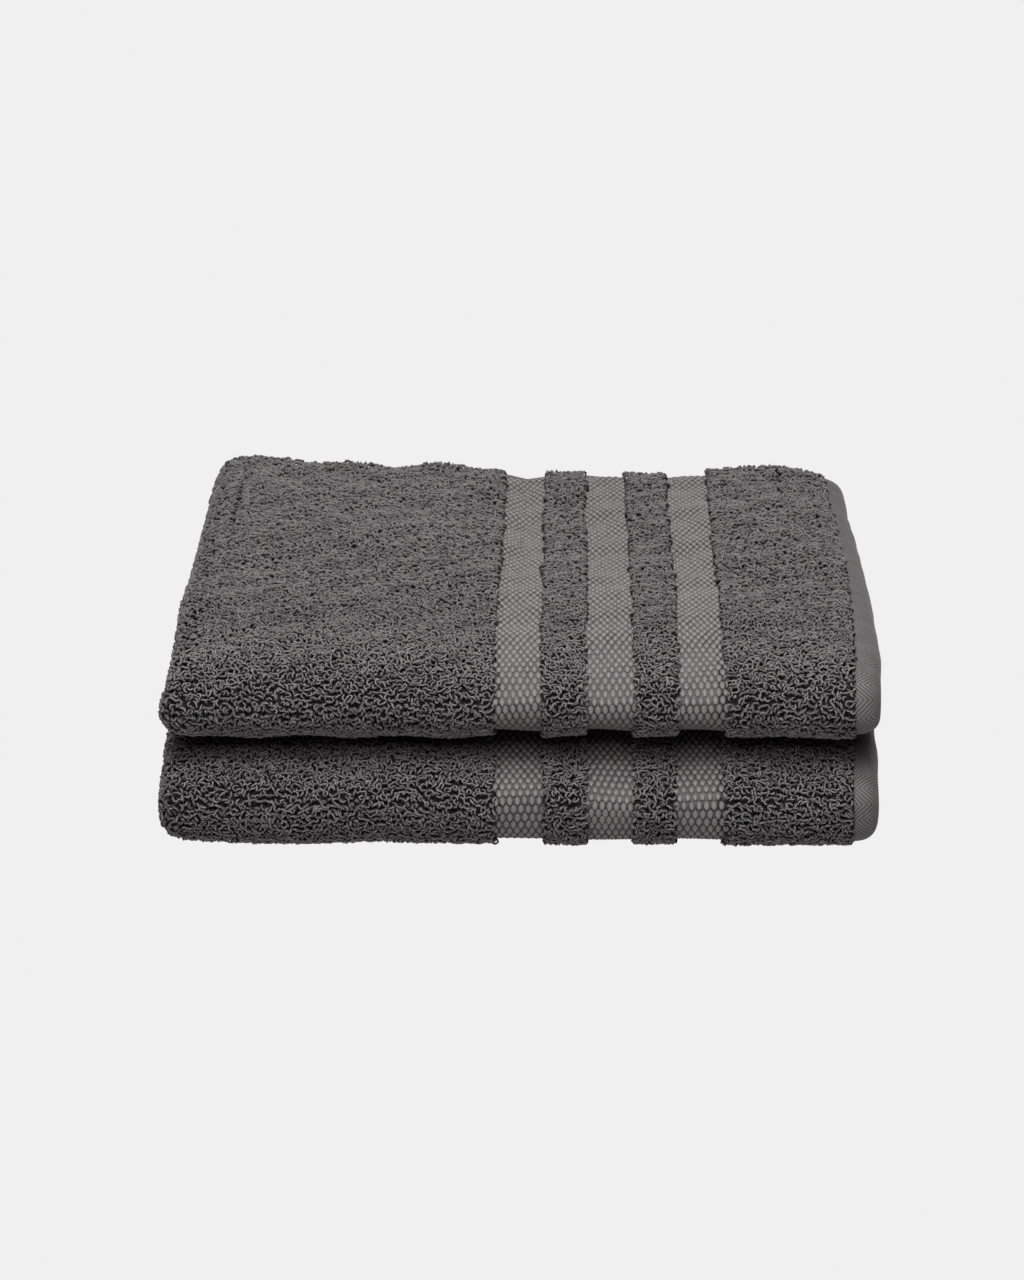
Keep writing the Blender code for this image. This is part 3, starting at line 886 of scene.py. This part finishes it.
# One towel: its sheet, then the pile and scales that stand on it, then its hems and their seams
def buildTowel(name):
    towel = towels[name]
    body = name + "_towel"
    upper = name == "upper"
    nose = towel["noseAt"]
    seed = towel["seed"] * 100
    sheet = makeCloth(name, towel)
    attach(sheet, body)
    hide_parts(f"{name}_middle_layers", *[f"{name}_inner_end_{zone}" for zone in zones])
    print(body, "cloth made")

    # the pile runs from the top side hem to the bottom one
    backEnd = hem["sideWidth"] + hem["pileGap"]
    frontEnd = cloth["width"] - backEnd
    noseEnd = nose + pile["underReach"]
    fieldStart = outerAt(leftFoldX)
    foldStart = fieldStart - math.pi * (bundle - cloth["faceDepth"] - layer / 2) / 2 - 0.004
    spans = {"terry_field": (fieldStart, outerAt(zoneX("terry_field")[1]) - 0.0006)}
    for zone in ("terry_stripe_1", "terry_stripe_2", "terry_border"):
        spans[zone] = tuple(outerAt(x) for x in zoneX(zone))
    spans["terry_border"] = (spans["terry_border"][0], spans["terry_border"][1] + 0.0006)
    spans["left_fold"] = (foldStart, fieldStart)
    made = []

    def addPile(label, uSpan, vSpan, kind, **more):
        steps, spacing = pile[kind]
        faces = (uSpan[1] - uSpan[0]) * (vSpan[1] - vSpan[0]) / spacing ** 2 * len(loops[steps]["faces"])
        cuts = np.linspace(*vSpan, int(math.ceil(faces / pile["mostFaces"])) + 1)
        for number, stretch in enumerate(zip(cuts[:-1], cuts[1:])):
            piece = scatterLoops(f"{name}_pile_{label}_{number + 1}", towel, uSpan, stretch, kind,
                                 seed=seed + len(made), **more)
            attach(piece, body)
            made.append(piece)
        return made[-1]

    frontStart = nose - pile["frontReach"][name]
    for zone, span in spans.items():
        if zone == "left_fold":
            addPile(zone, span, (backEnd, noseEnd), "side")
        else:
            addPile(zone + "_top", span, (backEnd, frontStart), "top" if upper else "covered")
            piece = addPile(zone + "_front", span, (frontStart, noseEnd), "front")
            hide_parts(f"{name}_outer_end_{zone}")
        addPile(zone + "_under", span, (noseEnd, frontEnd), "under")
    middleAt = [lengthAt[i] for i in range(len(lengthAt) - 1)
                if lengthPoints[i][0] > rightX - cloth["middleFoldInset"] - layer / 2 - 0.006
                and lengthPoints[i][1] < layer * 1.6 and lengthAt[i] > 0.03]
    addPile("middle_fold", (min(middleAt), max(middleAt)), (backEnd, frontEnd), "covered",
            size=pile["edgeSize"])
    # the pile that shows between the layers along the two side hems
    inside = (0.030, lengthTotal - 0.032)
    strip = pile["edgeStrip"]
    addPile("edge_top", inside, (backEnd, backEnd + strip), "covered", size=pile["edgeSize"], side=-1)
    addPile("edge_bottom", inside, (frontEnd - strip, frontEnd), "covered", size=pile["edgeSize"], side=-1)
    print(body, "pile made:", sum(len(p.data.polygons) for p in made), "faces")

    scales = makeScales(f"{name}_dobby_scales", towel, (backEnd, frontEnd), seed + 1)
    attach(scales, body)
    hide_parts(*[f"{name}_outer_end_{band}" for band in dobbyBands])
    print(body, "dobby bands made:", len(scales.data.polygons), "faces")

    extra = {**makeHems(name, towel), **makeStitches(name, towel)}
    for node, piece in extra.items():
        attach(piece, body)
        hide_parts(node)
    print(body, "hems and stitching made")


for name in ("lower", "upper"):
    buildTowel(name)

studio = {
    "backdrop": "#f0f0f0",
    "roomStrength": 0.02,     # light from all round
    "floorStrength": 0.43,    # light that the sweep throws back up
    # place, size in metres and watts of each softbox
    "highSoftbox": ((0.0, -0.9, 1.5), 0.9, 13.7),
    "frontSoftbox": ((0.0, -1.4, 1.2), 0.9, 9.4),
    "backSoftbox": ((0.0, 0.9, 1.4), 0.9, 8.2),
}
view = {
    "elevation": 17.7,        # degrees
    "turn": 0.68,
    "distance": 2.354,
    "target": (-0.0051, 0.0, 0.0565),
    "lens": 126.4,
}


def aimAt(obj, place, target):
    obj.location = place
    obj.rotation_euler = (Vector(target) - Vector(place)).to_track_quat("-Z", "Y").to_euler()


def addSoftbox(name):
    place, size, power = studio[name]
    light = bpy.data.lights.new(name, "AREA")
    light.shape = "SQUARE"
    light.size = size
    light.energy = power
    obj = bpy.data.objects.new(name, light)
    bpy.context.scene.collection.objects.link(obj)
    aimAt(obj, place, (0, 0, 0.05))


# Shows the backdrop's own tone to the camera, and lights the towels with another strength
def backdropNodes(tree, kind, output, strength):
    tree.nodes.clear()
    colour = toLinear(studio["backdrop"])
    path = addNode(tree, "ShaderNodeLightPath")
    seen = addNode(tree, kind, {"Color": colour, "Strength": 1.0})
    lit = addNode(tree, kind, {"Color": colour, "Strength": strength})
    mix = addNode(tree, "ShaderNodeMixShader", links={0: path.outputs["Is Camera Ray"], 1: lit.outputs[0],
                                                      2: seen.outputs[0]})
    addNode(tree, output, links={"Surface": mix.outputs[0]})


# A pale seamless floor that keeps its tone right up to the towels, as a lit sweep does
def makeFloor():
    shape = bmesh.new()
    bmesh.ops.create_grid(shape, x_segments=1, y_segments=1, size=30.0)
    mesh = bpy.data.meshes.new("floor")
    shape.to_mesh(mesh)
    shape.free()
    floor = bpy.data.objects.new("floor", mesh)
    bpy.context.scene.collection.objects.link(floor)
    material = bpy.data.materials.new("paleSweep")
    material.use_nodes = True
    backdropNodes(material.node_tree, "ShaderNodeEmission", "ShaderNodeOutputMaterial",
                  studio["floorStrength"])
    mesh.materials.append(material)


def makeWorld():
    world = bpy.data.worlds.new("studio")
    bpy.context.scene.world = world
    world.use_nodes = True
    backdropNodes(world.node_tree, "ShaderNodeBackground", "ShaderNodeOutputWorld",
                  studio["roomStrength"])


def makeCamera():
    camera = bpy.data.objects.new("camera", bpy.data.cameras.new("camera"))
    bpy.context.scene.collection.objects.link(camera)
    elevation, turn = math.radians(view["elevation"]), math.radians(view["turn"])
    target = Vector(view["target"])
    back = Vector((math.sin(turn) * math.cos(elevation), -math.cos(turn) * math.cos(elevation),
                   math.sin(elevation)))
    aimAt(camera, target + back * view["distance"], target)
    camera.data.sensor_width = 36.0
    camera.data.lens = view["lens"]
    camera.data.clip_end = 100.0
    bpy.context.scene.camera = camera


makeFloor()
makeWorld()
for softbox in ("highSoftbox", "frontSoftbox", "backSoftbox"):
    addSoftbox(softbox)
makeCamera()
bpy.context.scene.view_settings.view_transform = "Standard"
print("studio made")
